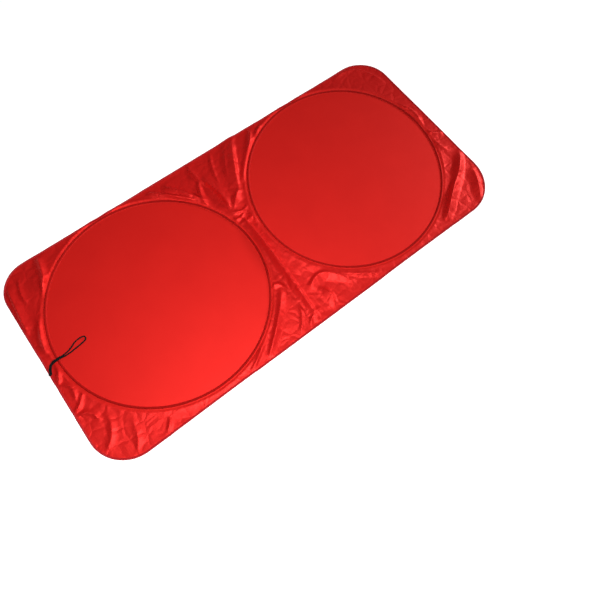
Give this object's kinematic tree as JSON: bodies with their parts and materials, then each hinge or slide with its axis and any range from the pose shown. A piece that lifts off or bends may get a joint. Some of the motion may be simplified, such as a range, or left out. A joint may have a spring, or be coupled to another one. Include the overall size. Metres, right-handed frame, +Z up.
{
  "type": "windscreen cover",
  "caption": "Twist-fold fabric windscreen cover laid out flat: a bound sheet held taut by two sewn-in sprung wire hoops, with loose creased margins and an elastic retaining loop.",
  "frame": {"origin": "Middle of the laid-out cover, on the floor under it.", "axes": "+X along the cover's length, away from the end with the retaining loop; +Y across it, towards the long edge that lies nearer the hoops; +Z up out of the outer face."},
  "size_m": [1.4754, 0.7034, 0.0131],
  "materials": {
    "cloth_red": "satin coated taffeta",
    "tape_red": "plain woven tape",
    "spring_steel": "drawn wire",
    "elastic_black": "braided elastic"
  },
  "bodies": {
    "root": {"cover_sheet": "cloth_red", "edge_binding": "tape_red", "left_ring_casing": "tape_red", "right_ring_casing": "tape_red", "left_ring_wire": "spring_steel", "right_ring_wire": "spring_steel", "left_ring_ferrule": "spring_steel", "right_ring_ferrule": "spring_steel", "retaining_loop": "elastic_black"}
  },
  "joints": []
}
